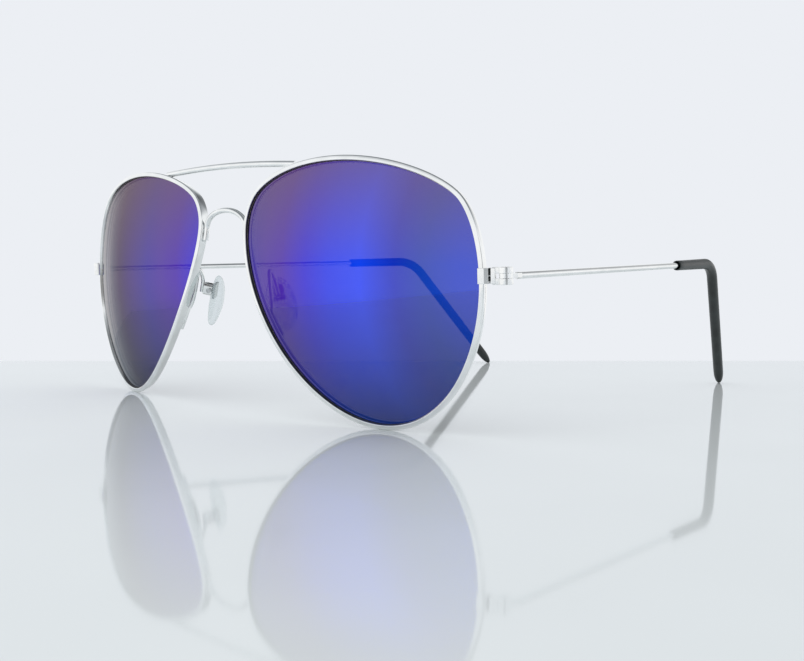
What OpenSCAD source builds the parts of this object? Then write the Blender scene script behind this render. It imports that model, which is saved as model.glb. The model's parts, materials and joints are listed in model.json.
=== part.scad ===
// Wire-framed aviator sunglasses with hinged temples and rocking nose pads.
// Millimetres, +Z up, front towards -Y, left means the wearer's left (+X).
// Every piece is drawn square to the front, then tipped to rest on the rims and sleeve ends.

/* [Lens] */
// visible width of a lens
lens_w = 58; // [52:0.5:62]
// visible height of a lens
lens_h = 50; // [44:0.5:54]
// gap between the two lens openings at the nose
bridge_gap = 17; // [14:0.5:22]
// radius of the lens curve
base_r = 95; // [85:1:130]
// angle that each lens turns round the face
wrap = 9; // [4:0.5:11]
// lens thickness
lens_t = 1.5; // [1.3:0.1:1.8]
// depth of the lens face behind the rim's front
recess = 0.6; // [0.4:0.05:0.7]

/* [Lens outline] */
// how far the outline leans, nose side high and cheek side low
slant = 2.7; // [2:0.1:3]
// pull of the teardrop towards the nose
tear_x = 0.7; // [0.4:0.1:1]
// pull of the teardrop towards the brow
tear_z = 2; // [1.5:0.1:2.2]
// fullness of the four sides
fullness = 0.3; // [0.1:0.05:0.4]
// sharpness of the nose corner
corner = 0.2; // [0.1:0.05:0.25]
// flatness of the cheek line
flatness = 0.1; // [0:0.05:0.15]

/* [Rim] */
// width of the rim wire seen from the front
rim_t = 0.95; // [0.9:0.05:1.2]
// depth of the rim wire from front to back
rim_depth = 2.2; // [2:0.05:2.4]
// rounding of the rim wire's corners
rim_round = 0.25; // [0.2:0.05:0.3]
// depth of the lens groove
groove_depth = 0.55; // [0.5:0.05:0.6]
// half the width of the lens groove at its mouth
groove_half = 0.3; // [0.26:0.01:0.32]
// half the cut in the rim at its closing blocks
rim_cut = 0.08; // [0.05:0.01:0.12]

/* [Brow bar and bridge] */
// brow bar diameter
brow_d = 1.35; // [1.1:0.05:1.5]
// where the brow bar lands on the rim, as an angle round the outline
brow_angle = 101; // [97:0.5:104]
// rise of the brow bar at its middle
brow_rise = 0.8; // [0.4:0.1:1.6]
// bridge wire diameter
bridge_d = 1.2; // [1:0.05:1.3]
// height of the bridge arch above its soldered legs
bridge_rise = 3.8; // [2.5:0.1:5]
// length of outline that each bridge leg follows, as an angle
bridge_lap = 8; // [6:0.5:14]

/* [End piece and hinge] */
// height of the hinge axis above the lens centre
hinge_up = 3.1; // [1:0.1:6]
// distance of the hinge axis outwards from the lens opening
hinge_out = 4.9; // [4.8:0.05:5.6]
// distance of the hinge axis behind the rim's front
hinge_back = 0.2; // [0:0.05:0.3]
// height of the end piece
end_h = 2.8; // [2.6:0.1:3.2]
// thickness of the end piece
end_t = 0.7; // [0.6:0.05:0.8]
// thickness of the cover plate over the rim joint
plate_t = 0.3; // [0.25:0.01:0.4]
// overlap of the cover plate over the lens
plate_in = 0.15; // [0.1:0.05:0.4]
// thickness of the cover plate's side leaf
plate_side = 0.75; // [0.6:0.05:0.8]
// depth of the cover plate's side leaf
plate_wrap = 0.6; // [0.5:0.05:0.7]
// gap between the cover plate and the end piece
slot_w = 0.5; // [0.4:0.05:0.55]
// radius of the hinge knuckles
knuckle_r = 1.3; // [1.2:0.05:1.35]
// height of the whole knuckle stack
knuckle_h = 3.1; // [3:0.1:3.6]
// thickness of the temple eye between the knuckles
eye_h = 0.8; // [0.7:0.05:1]
// radius of the temple eye
eye_r = 1.2; // [1.1:0.05:1.25]
// hinge screw shank radius
pin_r = 0.5; // [0.45:0.05:0.55]
// hinge screw head radius
head_r = 0.85; // [0.75:0.05:0.9]
// hinge screw head thickness
head_t = 0.45; // [0.4:0.05:0.55]
// depth of the closing blocks
lock_depth = 1.45; // [1.4:0.05:1.5]
// closing screw shank radius
lock_screw_r = 0.36; // [0.3:0.02:0.4]

/* [Temples] */
// temple wire diameter
wire_d = 1.3; // [1.1:0.05:1.4]
// offset of the temple wire outwards from the hinge axis
wire_off = 0.9; // [0.85:0.05:1.1]
// angle of each temple inwards
temple_in = 12; // [6:0.5:14]
// angle of each temple downwards
temple_drop = 1; // [0:0.25:2]
// hinge axis to the mouth of the sleeve
mouth_y = 74; // [60:1:80]
// hinge axis to the ear bend
bend_y = 95; // [88:1:105]
// radius of the ear bend
bend_r = 9; // [7:0.5:12]
// angle of the ear bend
bend_angle = 54; // [45:1:60]
// lean of the ear hook inwards, turned about the wire
hook_lean = 12; // [0:1:16]
// half thickness of the sleeve at its mouth
sleeve_mouth = 1.1; // [1.05:0.05:1.3]
// half width of the sleeve beyond the bend
sleeve_hook = 1.3; // [1.2:0.05:1.6]
// half width of the sleeve where its tip starts
tip_r = 1.2; // [1.1:0.05:1.3]
// length of the sleeve's tapered tip
tip_len = 4; // [2.5:0.5:6]
// tip of the front forwards when it rests on a table
rest_tilt = 2; // [1:0.25:3]

/* [Nose pads] */
// nose pad height
pad_h = 11.5; // [10:0.5:13]
// nose pad width
pad_w = 6.5; // [6:0.25:7.5]
// nose pad thickness
pad_t = 2.2; // [2:0.1:2.6]
// turn of each pad towards the face
pad_splay = 40; // [34:1:45]
// lean of each pad towards the nose at the top
pad_front = 18; // [12:1:22]
// pad pivot behind the rim's front
pad_back = 5.8; // [5.6:0.1:7]
// pad pivot below the lens centre
pad_down = 0.6; // [0:0.1:2]
// pad pivot outwards from the middle of the front
pad_out = 12.2; // [11.4:0.1:12.6]
// pad pivot above the pad's middle
pad_hang = 2.4; // [1.5:0.1:3]
// pad arm wire diameter
arm_d = 0.9; // [0.7:0.05:1]
// height of the pad arm's loop above the lens centre
arm_peak = 3.3; // [2.5:0.1:4]
// where the pad arm starts on the rim, as an angle round the outline
arm_angle = 213; // [208:1:218]
// pad screw shank radius
pad_pin_r = 0.3; // [0.26:0.02:0.34]

/* [Fits] */
// gap between pieces that are soldered or clamped
seat_gap = 0.04; // [0.03:0.01:0.05]
// radial running clearance of a pin in its bore
run_gap = 0.04; // [0.03:0.01:0.06]
// side clearance between moving leaves
leaf_gap = 0.05; // [0.04:0.01:0.07]

/* [Hidden] */
outline_steps = 96;
ring_n = 12;
sleeve_n = 14;
round_fn = 96;
groove_mid = min(recess + lens_t / 2, rim_depth - rim_round - groove_half);
lens_gap = 0.05;
lens_layers = 4;
layer_t = lens_t / lens_layers;
layer_lap = 0.06;
tongue_half = 0.1;
tongue_d = groove_depth / 2;
wire_r = wire_d / 2;
brow_r = brow_d / 2;
bridge_r = bridge_d / 2;
arm_r = arm_d / 2;
silver = [0.8, 0.81, 0.83];
tint = [0.2, 0.25, 0.65];
black = [0.12, 0.13, 0.13];
clear = [0.88, 0.92, 0.93];

// outline: half-widths by direction, so that an offset outline only adds its distance
waves = [
  [0, (lens_w + lens_h) / 4 + fullness, 0],
  [1, tear_x + corner, tear_z + corner],
  [2, (lens_w - lens_h) / 4 - flatness, -slant],
  [3, -tear_x, tear_z],
  [4, -fullness, 0],
  [5, -corner, -corner],
  [6, flatness, 0]];
function total(v, i = 0) = i == len(v) ? 0 : v[i] + total(v, i + 1);
function reach(a) = total([for (k = waves) k[1] * cos(k[0] * a) + k[2] * sin(k[0] * a)]);
function swing(a) = total([for (k = waves) k[0] * (k[2] * cos(k[0] * a) - k[1] * sin(k[0] * a))]);
function bow(a) = total([for (k = waves) (1 - k[0] * k[0]) * (k[1] * cos(k[0] * a) + k[2] * sin(k[0] * a))]);
function edge(a, d) = let (h = reach(a) + d, g = swing(a)) [h * cos(a) - g * sin(a), h * sin(a) + g * cos(a)];
function sag(q) = base_r - sqrt(base_r * base_r - q * q);
function lens_pt(a, d, w) = let (q = edge(a, d)) [q[0], sag(q) + w, q[1]];
// the rim and the lens edge lean inwards towards the back, square to the lens curve
rim_lean = tan(asin((lens_w + lens_h) / (4 * base_r)));
function rim_pt(a, d, w) = lens_pt(a, d - rim_lean * w, w);

function rot_x(v, a) = [v[0], v[1] * cos(a) - v[2] * sin(a), v[1] * sin(a) + v[2] * cos(a)];
function rot_y(v, a) = [v[0] * cos(a) + v[2] * sin(a), v[1], v[2] * cos(a) - v[0] * sin(a)];
function rot_z(v, a) = [v[0] * cos(a) - v[1] * sin(a), v[0] * sin(a) + v[1] * cos(a), v[2]];
function unit(v) = v / norm(v);
function flip(v) = [-v[0], v[1], v[2]];
function bezier(a, b, c, d, t) =
  a * pow(1 - t, 3) + 3 * b * t * pow(1 - t, 2) + 3 * c * t * t * (1 - t) + d * pow(t, 3);

// the left lens in the front: turned by wrap, nose corner half a bridge gap from the middle
lens_x = bridge_gap / 2 - rot_z(lens_pt(180, 0, 0), wrap)[0];
function front(v) = [lens_x, 0, 0] + rot_z(v, wrap);

// the temple joint: its own square frame stands on the rim's front face at the hinge height
lock_a = (hinge_up - edge(0, 0)[1]) / bow(0) * 180 / PI;
joint_pt = lens_pt(lock_a, 0, 0);
lip_slope = atan(joint_pt[0] / (base_r - joint_pt[1]));
joint_turn = wrap + lip_slope;
joint_at = front([joint_pt[0], joint_pt[1], hinge_up]);
hinge_at = joint_at + rot_z([hinge_out, hinge_back, 0], joint_turn);

// the temple wire in its own frame: straight along +Y, then the bend down in the YZ plane
bend_start = bend_y - bend_r * tan(bend_angle / 2);
hook_start = [0, bend_start + bend_r * sin(bend_angle), -bend_r * (1 - cos(bend_angle))];
hook_dir = [0, cos(bend_angle), -sin(bend_angle)];
function temple_turn(v) = rot_z(rot_x(rot_y(v, hook_lean), -temple_drop), temple_in);
function temple_pt(v) = hinge_at + rot_z([wire_off, 0, 0], temple_in) + temple_turn(v);
function rested(v) = rot_x(v, rest_tilt);

// the table: the lowest rim point and the sleeve ends both stand on it
rim_low = min([for (a = [200:2:340]) rested(front(rim_pt(a, rim_t, rim_round)))[2]]);
hook_fall = rested(temple_turn(hook_dir))[2];
tip_reach = sqrt(pow(tip_len * hook_fall, 2) + tip_r * tip_r * (1 - hook_fall * hook_fall));
hook_len = (rim_low + tip_reach - rested(temple_pt(hook_start))[2]) / hook_fall;
lens_front = rested(front([0, base_r + recess, 0]))[1] - base_r;
front_y = min(lens_front, min([for (a = [0:4:359]) rested(front(rim_pt(a, rim_t / 2, 0)))[1]]));
tip_at = rested(temple_pt(hook_start + hook_dir * hook_len));
tip_dir = rested(temple_turn(hook_dir));
back_y = tip_at[1] + sqrt(pow(tip_len * tip_dir[1], 2) + tip_r * tip_r * (1 - tip_dir[1] * tip_dir[1]));
module rest() translate([0, -(front_y + back_y) / 2, -rim_low]) rotate([rest_tilt, 0, 0]) children();
module right() mirror([1, 0, 0]) children();
module in_lens() translate([lens_x, 0, 0]) rotate([0, 0, wrap]) children();
module in_joint() translate(joint_at) rotate([0, 0, joint_turn]) children();
module in_hinge() translate(hinge_at) rotate([0, 0, temple_in]) children();
module in_wire() in_hinge() translate([wire_off, 0, 0]) rotate([-temple_drop, 0, 0])
  rotate([0, hook_lean, 0]) children();

// skin over rings of equal length; the ends close as fans from each ring's first point
module skin(rings) {
  n = len(rings[0]);
  m = len(rings);
  sides = [for (i = [0:m - 2], j = [0:n - 1], k = [0, 1])
    let (a = i * n + j, b = i * n + (j + 1) % n)
    k == 0 ? [a, b, b + n] : [a, b + n, a + n]];
  first = [for (j = [1:n - 2]) [0, j + 1, j]];
  last = [for (j = [1:n - 2]) [0, j, j + 1] + (m - 1) * n * [1, 1, 1]];
  polyhedron([for (r = rings) each r], concat(sides, first, last));
}
// round wire along a path; ref is a direction that the path never runs along
module wire(path, r, ref) {
  m = len(path);
  skin([for (i = [0:m - 1])
    let (t = unit(path[min(i + 1, m - 1)] - path[max(i - 1, 0)]), s = unit(cross(t, ref)), u = cross(s, t))
    [for (k = [0:ring_n - 1]) path[i] + r * (cos(k * 360 / ring_n) * s + sin(k * 360 / ring_n) * u)]]);
}

// rim section as [outwards, back], from the bottom of the groove round the front and outside
rim_section = let (r = rim_round, h = 0.7 * rim_round, t = rim_t, d = rim_depth) [
  [groove_depth, groove_mid], [0, groove_mid - groove_half], [0, h], [h, 0],
  [t - r, 0], [t - 0.3 * r, 0.3 * r], [t, r],
  [t, d - r], [t - 0.3 * r, d - 0.3 * r], [t - r, d],
  [h, d], [0, d - h], [0, groove_mid + groove_half]];
cut_a = rim_cut / bow(0) * 180 / PI;
module rim() in_lens() skin([for (i = [0:outline_steps])
  let (a = lock_a + cut_a + i * (360 - 2 * cut_a) / outline_steps)
  [for (p = rim_section) rim_pt(a, p[0], p[1])]]);

module lens_slice(d, w1, w2) difference() {
  intersection() {
    translate([0, base_r / 2, 0]) rotate([90, 0, 0]) linear_extrude(height = base_r)
      polygon([for (i = [0:outline_steps - 1]) edge(lock_a + i * 360 / outline_steps, d)]);
    translate([0, base_r + w1, 0]) sphere(r = base_r, $fn = round_fn * 2);
  }
  translate([0, base_r + w2, 0]) sphere(r = base_r, $fn = round_fn * 2);
}
// layers with a smaller outline towards the back, and a tongue in the groove
module lens() in_lens() {
  for (i = [1:lens_layers]) let (w2 = recess + i * layer_t, lap = i == 1 ? 0 : layer_lap)
    lens_slice(-lens_gap - rim_lean * w2, w2 - layer_t - lap, w2);
  lens_slice(tongue_d - rim_lean * groove_mid, groove_mid - tongue_half, groove_mid + tongue_half);
}

// brow bar: one shallow arc, coped at both ends to sit on the top of the rims
brow_lift = 0.2;
brow_end = front(rim_pt(brow_angle, rim_t + brow_lift, rim_depth / 2));
brow_arc_r = (brow_end[0] * brow_end[0] + brow_rise * brow_rise) / (2 * brow_rise);
brow_arc_a = asin(brow_end[0] / brow_arc_r);
cope_h = 8 * rim_depth;
cope_d = rim_t + 2 * seat_gap;
brow_foot = lens_pt(brow_angle, cope_d, 0);
module brow_arc() translate([0, brow_end[1], brow_end[2] + brow_rise - brow_arc_r]) rotate([90, 0, 0])
  rotate([0, 0, 90 - brow_arc_a]) rotate_extrude(angle = 2 * brow_arc_a, $fn = round_fn * 4)
    translate([brow_arc_r, 0]) circle(r = brow_r, $fn = round_fn / 2);
module brow_cope() in_lens() translate(brow_foot) rotate([90 - atan(rim_lean), 0, 0])
  linear_extrude(height = cope_h, center = true)
    polygon([for (i = [0:outline_steps - 1])
      edge(i * 360 / outline_steps, cope_d) - [brow_foot[0], brow_foot[2]]]);
module brow_bar_shape() difference() {
  brow_arc();
  brow_cope();
  right() brow_cope();
}

// bridge: legs follow the nose side of the rims, an arch joins them
function bridge_leg(a) = front(rim_pt(a, rim_t + bridge_r + seat_gap, rim_depth / 2));
bridge_top = bridge_leg(180);
bridge_pull = [0, 0, bridge_rise / 0.75];
module bridge_shape() {
  leg = [for (i = [0:4]) bridge_leg(180 + bridge_lap * (1 - i / 4))];
  arch = [for (i = [1:15]) bezier(bridge_top, bridge_top + bridge_pull,
    flip(bridge_top) + bridge_pull, flip(bridge_top), i / 16)];
  wire(concat(leg, arch, [for (i = [4:-1:0]) flip(leg[i])]), bridge_r, [0, 1, 0]);
}

// temple joint, in its own frame: X outwards along the rim's front, Y back
wall_lean = tan(lip_slope) - rim_lean / pow(cos(lip_slope), 2);
function wall_x(y, gap) = rim_t / cos(lip_slope) + gap * sqrt(1 + wall_lean * wall_lean) + y * wall_lean;
leaf_x = wall_x(plate_wrap, seat_gap + plate_side);
plate_front = -plate_t - seat_gap;
block_in = leaf_x + slot_w;
block_gap = 0.5;
block_out = hinge_out - knuckle_r - block_gap;
block_back = end_t + plate_front;
lock_front = block_back + seat_gap;
lock_back = lock_front + lock_depth;
lock_out = block_out - 0.2;
lock_bevel = 0.65;
lock_land = 0.25;
lock_notch = plate_wrap + seat_gap;
lock_mid = (lock_front + lock_back) / 2;
lock_at = [(wall_x(lock_mid, seat_gap) + lock_out - lock_bevel / 2) / 2, lock_mid];
screw_head = 0.35;
lock_h = end_h / 2;
lock_low = lock_h - screw_head - 2 * seat_gap;
lock_head_r = lock_mid - lock_notch;
module prism(h, pts) translate([0, 0, -h / 2]) linear_extrude(height = h) polygon(pts);
module joint_plate() in_joint() prism(end_h, [
  [-plate_in, plate_front], [wall_x(0, seat_gap), plate_front],
  [wall_x(0, seat_gap + plate_side), -plate_t / 2], [leaf_x, plate_wrap],
  [wall_x(plate_wrap, seat_gap), plate_wrap], [wall_x(0, seat_gap), -seat_gap], [-plate_in, -seat_gap]]);
knuckle_in = eye_h / 2 + leaf_gap;
arm_lap = 0.5;
module end_piece() in_joint() difference() {
  union() {
    prism(end_h, [[block_in, plate_front], [block_out, plate_front],
      [block_out, block_back], [block_in, block_back]]);
    for (s = [-1, 1]) translate([0, 0, s * (knuckle_in + knuckle_h / 2) / 2]) {
      translate([hinge_out, hinge_back, 0])
        cylinder(r = knuckle_r, h = knuckle_h / 2 - knuckle_in, center = true, $fn = round_fn);
      prism(knuckle_h / 2 - knuckle_in, [[block_out - arm_lap, -plate_t], [hinge_out, -plate_t],
        [hinge_out, block_back - seat_gap], [block_out - arm_lap, block_back - seat_gap]]);
    }
  }
  translate([hinge_out, hinge_back, 0]) {
    cylinder(r = pin_r + run_gap, h = 2 * knuckle_h, center = true, $fn = round_fn);
    translate([0, 0, knuckle_h / 2 - head_t]) cylinder(r = head_r + run_gap, h = knuckle_h, $fn = round_fn);
  }
}
// closing blocks: one on each end of the cut rim, drawn together by a screw from below
module lock_half(s, h) in_joint() difference() {
  translate([0, 0, s * (rim_cut + h) / 2]) prism(h - rim_cut, [
    [wall_x(lock_notch, seat_gap), lock_notch], [leaf_x + seat_gap, lock_notch],
    [leaf_x + seat_gap, lock_front], [lock_out, lock_front], [lock_out, lock_front + lock_land],
    [lock_out - lock_bevel, lock_back], [wall_x(lock_back, seat_gap), lock_back]]);
  translate([lock_at[0], lock_at[1], 0])
    cylinder(r = lock_screw_r + run_gap, h = 3 * lock_h, center = true, $fn = round_fn);
}
module slotted_head(r, h) difference() {
  cylinder(r = r, h = h, $fn = round_fn);
  translate([-2 * r, -r / 6, h * 0.6]) cube([4 * r, r / 3, h]);
}
module lock_screw() in_joint() translate([lock_at[0], lock_at[1], 0]) {
  translate([0, 0, -lock_low - seat_gap]) {
    cylinder(r = lock_screw_r, h = lock_low + seat_gap + lock_h, $fn = round_fn);
    mirror([0, 0, 1]) slotted_head(lock_head_r, screw_head);
  }
}
module hinge_screw() in_hinge() {
  translate([0, 0, -knuckle_h / 2])
    cylinder(r = pin_r, h = knuckle_h - head_t + 2 * seat_gap, $fn = round_fn);
  translate([0, 0, knuckle_h / 2 - head_t + seat_gap]) slotted_head(head_r, head_t - seat_gap);
}

// temple: flat eye, then the round wire that runs on inside the sleeve, drawn thinner in two steps
tab_y = 3;
tab_lap = 0.6;
core_step = 0.2;
core_room = 0.3;
core_end = hook_len - 2;
module temple() {
  in_hinge() difference() {
    union() {
      cylinder(r = eye_r, h = eye_h, center = true, $fn = round_fn);
      prism(eye_h, [[-0.75 * eye_r, 0], [0.9 * eye_r, 0], [wire_off + wire_r, tab_y - 1.4],
        [wire_off + wire_r, tab_y], [wire_off - wire_r, tab_y], [wire_off - wire_r, tab_y - 0.8],
        [-0.75 * eye_r, 0.6 * eye_r]]);
    }
    cylinder(r = pin_r + run_gap, h = 2 * eye_h, center = true, $fn = round_fn);
  }
  in_wire() {
    translate([0, tab_y - tab_lap, 0]) rotate([-90, 0, 0])
      cylinder(r = wire_r, h = bend_start - tab_y + tab_lap + core_step, $fn = round_fn);
    translate([0, bend_start, -bend_r]) rotate([90, 0, 90]) rotate([0, 0, 90 - bend_angle])
      rotate_extrude(angle = bend_angle, $fn = round_fn * 2) translate([bend_r, 0])
        circle(r = wire_r - core_step / 2, $fn = round_fn / 2);
    translate(hook_start - core_step * hook_dir) rotate([-90 - bend_angle, 0, 0])
      cylinder(r = wire_r - core_step, h = core_end + core_step, $fn = round_fn);
  }
}

// sleeve stations: [middle, direction angle, half thickness, half width]
function bend_pt(a) = [0, bend_start + bend_r * sin(a), -bend_r * (1 - cos(a))];
function hook_pt(s) = hook_start + hook_dir * s;
mouth_swell = 0.1;
sleeve_line = concat(
  [for (s = [0, 0.25, 0.5, 0.75]) [[0, mouth_y + s * (bend_start - mouth_y), 0], 0,
    sleeve_mouth, sleeve_mouth + mouth_swell * s]],
  [for (i = [0:8]) [bend_pt(i * bend_angle / 8), i * bend_angle / 8,
    sleeve_mouth + i * (tip_r - sleeve_mouth) / 8,
    sleeve_mouth + mouth_swell + i * (sleeve_hook - sleeve_mouth - mouth_swell) / 8]],
  [for (s = [0.2, 0.4, 0.6, 0.8, 1]) [hook_pt(s * hook_len), bend_angle, tip_r,
    sleeve_hook + s * s * (tip_r - sleeve_hook)]],
  [for (a = [20, 38, 54, 68, 80]) [hook_pt(hook_len + tip_len * sin(a)), bend_angle,
    tip_r * cos(a), tip_r * cos(a)]]);
bore_r = (wire_r + seat_gap) / cos(180 / sleeve_n);
bore_flare = 0.22;
flare_len = 1.2;
bore_line = concat(
  [[[0, mouth_y, 0], 0, bore_r + bore_flare, bore_r + bore_flare],
    [[0, mouth_y + flare_len, 0], 0, bore_r, bore_r]],
  [for (i = [0:8]) [bend_pt(i * bend_angle / 8), i * bend_angle / 8, bore_r, bore_r / cos(bend_angle / 16)]],
  [[hook_pt(core_end + core_room), bend_angle, bore_r, bore_r]]);
function sleeve_ring(st) = [for (k = [0:sleeve_n - 1]) let (a = k * 360 / sleeve_n)
  st[0] + [st[2] * cos(a), st[3] * sin(a) * sin(st[1]), st[3] * sin(a) * cos(st[1])]];
// one skin: from the tip over the outside to the mouth, then down the bore to its end
module sleeve() in_wire() skin(concat(
  [for (i = [len(sleeve_line) - 1:-1:0]) sleeve_ring(sleeve_line[i])],
  [for (st = bore_line) sleeve_ring(st)]));

// nose pad: pivot frame with X away from the nose, Y back along the pad, Z up the pad
pad_at = [pad_out, pad_back, -pad_down];
eye_gap = 0.9;
pivot_r = 0.65;
pad_head = 0.3;
lug_w = 0.9;
core_t = 0.6;
core_w = 2.6;
core_h = 3.4;
module in_pad() translate(pad_at) rotate([0, -pad_front, 0]) rotate([0, 0, -pad_splay]) children();
module pad_oval(k, x1, x2) translate([x1, 0, -pad_hang]) rotate([90, 0, 90]) linear_extrude(height = x2 - x1)
  polygon([for (a = [0:10:350]) [k * pad_w / 2 * cos(a), k * pad_h / 2 * sin(a) * (1 + 0.06 * cos(a))]]);
pad_dome = 14;
module nose_pad() in_pad() difference() {
  intersection() {
    pad_oval(1, -eye_gap - pad_t, -eye_gap);
    translate([pad_dome - eye_gap - pad_t, 0, -pad_hang]) sphere(r = pad_dome, $fn = round_fn * 2);
  }
  translate([-eye_gap - core_t, -core_w / 2, -core_h / 2]) cube([2 * core_t, core_w, core_h]);
}
module pad_core() in_pad() difference() {
  union() {
    translate([-eye_gap - core_t + seat_gap, seat_gap - core_w / 2, seat_gap - core_h / 2])
      cube([core_t - 2 * seat_gap, core_w - 2 * seat_gap, core_h - 2 * seat_gap]);
    translate([-eye_gap - core_t / 2, -lug_w / 2, -pivot_r]) cube([eye_gap + core_t / 2, lug_w, 2 * pivot_r]);
    rotate([90, 0, 0]) cylinder(r = pivot_r, h = lug_w, center = true, $fn = round_fn);
  }
  rotate([90, 0, 0]) cylinder(r = pad_pin_r + run_gap, h = 3 * lug_w, center = true, $fn = round_fn);
}
box_x = pivot_r + 0.15;
box_t = 0.5;
box_r = 1.4;
box_w = 1.15;
box_z = 0.95;
module pad_box() in_pad() difference() {
  intersection() {
    translate([-pivot_r, 0, 0]) rotate([0, 90, 0])
      cylinder(r = box_r, h = pivot_r + box_x + box_t, $fn = round_fn);
    cube([4 * box_r, 2 * box_w, 4 * box_r], center = true);
  }
  translate([-2 * box_r, -lug_w / 2 - leaf_gap, -2 * box_r])
    cube([2 * box_r + box_x, lug_w + 2 * leaf_gap, 4 * box_r]);
  rotate([90, 0, 0]) cylinder(r = pad_pin_r + run_gap, h = 4 * box_w, center = true, $fn = round_fn);
}
module pad_screw() in_pad() rotate([90, 0, 0]) {
  translate([0, 0, -box_w]) cylinder(r = pad_pin_r, h = 2 * box_w + 2 * seat_gap, $fn = round_fn);
  translate([0, 0, box_w + seat_gap]) slotted_head(pad_pin_r * 1.9, pad_head);
}
// pad arm: lies along the back of the rim, loops up and back, ends on the pad box
arm_seat = 0.6 * rim_t;
arm_lie = 6;
arm_drop = 2.2;
function arm_foot(a) = front(rim_pt(a, arm_seat, rim_depth + arm_r + seat_gap));
function pad_pt(v) = pad_at + rot_y(rot_z(v, -pad_splay), -pad_front);
arm_end = pad_pt([box_x + box_t + arm_r + seat_gap, 0, -box_z]);
arm_land = pad_pt([box_x + box_t + arm_r + seat_gap, 0, box_z]);
arm_top = [arm_land[0] - 0.3, (arm_land[1] + arm_foot(arm_angle)[1]) / 2, arm_peak];
arm_rise = unit(unit(arm_foot(arm_angle) - arm_foot(arm_angle + arm_lie)) + [0, 0.8, 0]);
module pad_arm() {
  lap = [for (i = [0:2]) arm_foot(arm_angle + arm_lie * (1 - i / 2))];
  up = [for (i = [1:8]) bezier(lap[2], lap[2] + 1.6 * arm_rise,
    arm_top + [0.3, -0.3, -arm_drop], arm_top, i / 8)];
  down = [for (i = [1:8]) bezier(arm_top, arm_top + [-0.2, 0.2, 1.4],
    arm_land + unit(arm_land - arm_end) * 1.8, arm_land, i / 8)];
  wire(concat(lap, up, down, [arm_end]), arm_r, [1, 0, 0]);
}

module left_rim() color(silver) rest() rim();
module right_rim() color(silver) rest() right() rim();
module left_lens() color(tint) rest() lens();
module right_lens() color(tint) rest() right() lens();
module brow_bar() color(silver) rest() brow_bar_shape();
module bridge() color(silver) rest() bridge_shape();
module left_joint_plate() color(silver) rest() joint_plate();
module right_joint_plate() color(silver) rest() right() joint_plate();
module left_end_piece() color(silver) rest() end_piece();
module right_end_piece() color(silver) rest() right() end_piece();
module left_lock_upper() color(silver) rest() lock_half(1, lock_h);
module right_lock_upper() color(silver) rest() right() lock_half(1, lock_h);
module left_lock_lower() color(silver) rest() lock_half(-1, lock_low);
module right_lock_lower() color(silver) rest() right() lock_half(-1, lock_low);
module left_lock_screw() color(silver) rest() lock_screw();
module right_lock_screw() color(silver) rest() right() lock_screw();
module left_hinge_screw() color(silver) rest() hinge_screw();
module right_hinge_screw() color(silver) rest() right() hinge_screw();
module left_temple() color(silver) rest() temple();
module right_temple() color(silver) rest() right() temple();
module left_sleeve() color(black) rest() sleeve();
module right_sleeve() color(black) rest() right() sleeve();
module left_pad_arm() color(silver) rest() pad_arm();
module right_pad_arm() color(silver) rest() right() pad_arm();
module left_pad_box() color(silver) rest() pad_box();
module right_pad_box() color(silver) rest() right() pad_box();
module left_pad_screw() color(silver) rest() pad_screw();
module right_pad_screw() color(silver) rest() right() pad_screw();
module left_pad_core() color(silver) rest() pad_core();
module right_pad_core() color(silver) rest() right() pad_core();
module left_nose_pad() color(clear) rest() nose_pad();
module right_nose_pad() color(clear) rest() right() nose_pad();

left_rim();
right_rim();
left_lens();
right_lens();
brow_bar();
bridge();
left_joint_plate();
right_joint_plate();
left_end_piece();
right_end_piece();
left_lock_upper();
right_lock_upper();
left_lock_lower();
right_lock_lower();
left_lock_screw();
right_lock_screw();
left_hinge_screw();
right_hinge_screw();
left_temple();
right_temple();
left_sleeve();
right_sleeve();
left_pad_arm();
right_pad_arm();
left_pad_box();
right_pad_box();
left_pad_screw();
right_pad_screw();
left_pad_core();
right_pad_core();
left_nose_pad();
right_nose_pad();
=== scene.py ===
"""Aviator sunglasses: fine meshes and finishes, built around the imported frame.

Lengths of the object are in millimetres until a mesh is made, and metres from there on.
Left means the wearer's left, which is +X. The front looks towards -Y.
"""

from __future__ import annotations

import json
import logging
import math
from dataclasses import dataclass, field
from enum import Enum
from typing import Any, Callable, Iterable, Sequence

import bmesh
import bpy
from mathutils import Matrix, Vector

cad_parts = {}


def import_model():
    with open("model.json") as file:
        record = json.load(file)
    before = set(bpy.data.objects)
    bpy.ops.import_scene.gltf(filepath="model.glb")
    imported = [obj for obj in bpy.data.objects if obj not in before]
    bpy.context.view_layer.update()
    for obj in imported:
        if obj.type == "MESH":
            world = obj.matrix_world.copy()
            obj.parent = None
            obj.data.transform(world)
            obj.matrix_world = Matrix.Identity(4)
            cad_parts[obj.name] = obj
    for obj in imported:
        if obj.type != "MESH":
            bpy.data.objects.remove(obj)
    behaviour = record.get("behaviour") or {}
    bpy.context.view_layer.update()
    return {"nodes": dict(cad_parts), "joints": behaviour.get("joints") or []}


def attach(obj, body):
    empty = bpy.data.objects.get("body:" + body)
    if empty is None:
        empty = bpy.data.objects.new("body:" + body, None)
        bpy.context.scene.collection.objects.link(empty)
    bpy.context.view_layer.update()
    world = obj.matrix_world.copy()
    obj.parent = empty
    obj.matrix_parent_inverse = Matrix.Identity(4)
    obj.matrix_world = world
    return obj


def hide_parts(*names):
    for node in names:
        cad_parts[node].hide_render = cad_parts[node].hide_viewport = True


LOG = logging.getLogger("sunglasses")
MM = 0.001
# Nearly all values of a noise lie between these two.
NOISE_SPAN = (0.3, 0.7)
# With this blend, Facing is one minus the cosine of the slant.
PLAIN_FACING = 0.5
# A cubic curve rises to this share of its handles' height.
CUBIC_TOP = 0.75
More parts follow.
